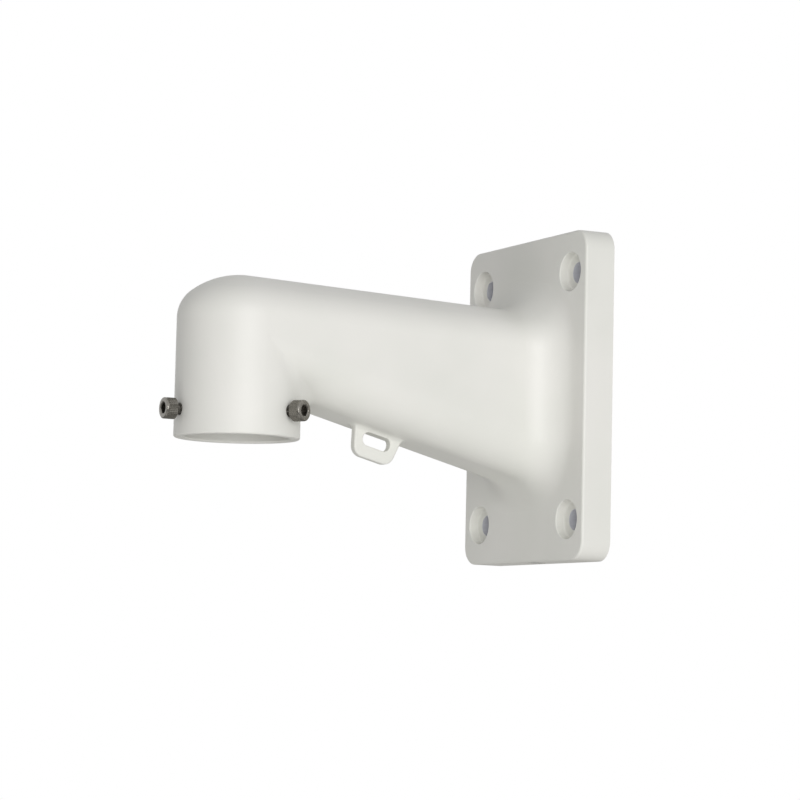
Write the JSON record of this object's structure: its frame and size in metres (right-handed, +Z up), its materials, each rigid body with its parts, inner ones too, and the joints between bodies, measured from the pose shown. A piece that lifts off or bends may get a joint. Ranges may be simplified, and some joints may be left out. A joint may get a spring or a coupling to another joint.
{
  "type": "camera wall bracket",
  "caption": "Hollow cast arm that holds a dome camera off a wall: rectangular plate, round downward collar with clamp screws, and a lug for the safety cable.",
  "frame": {"origin": "centre of the wall screw pattern, in the plane of the plate's back face", "axes": "+Y into the wall, out of the back face; +Z up; X along the wall, the plane of symmetry is x = 0; the arm reaches towards -Y"},
  "size_m": [0.113, 0.2105, 0.1606],
  "materials": {
    "white_coating": "satin",
    "screw_steel": "satin"
  },
  "bodies": {
    "root": {"bracket_casting": "white_coating", "lock_screw_front": "screw_steel", "lock_screw_right": "screw_steel", "lock_screw_left": "screw_steel"}
  },
  "joints": []
}
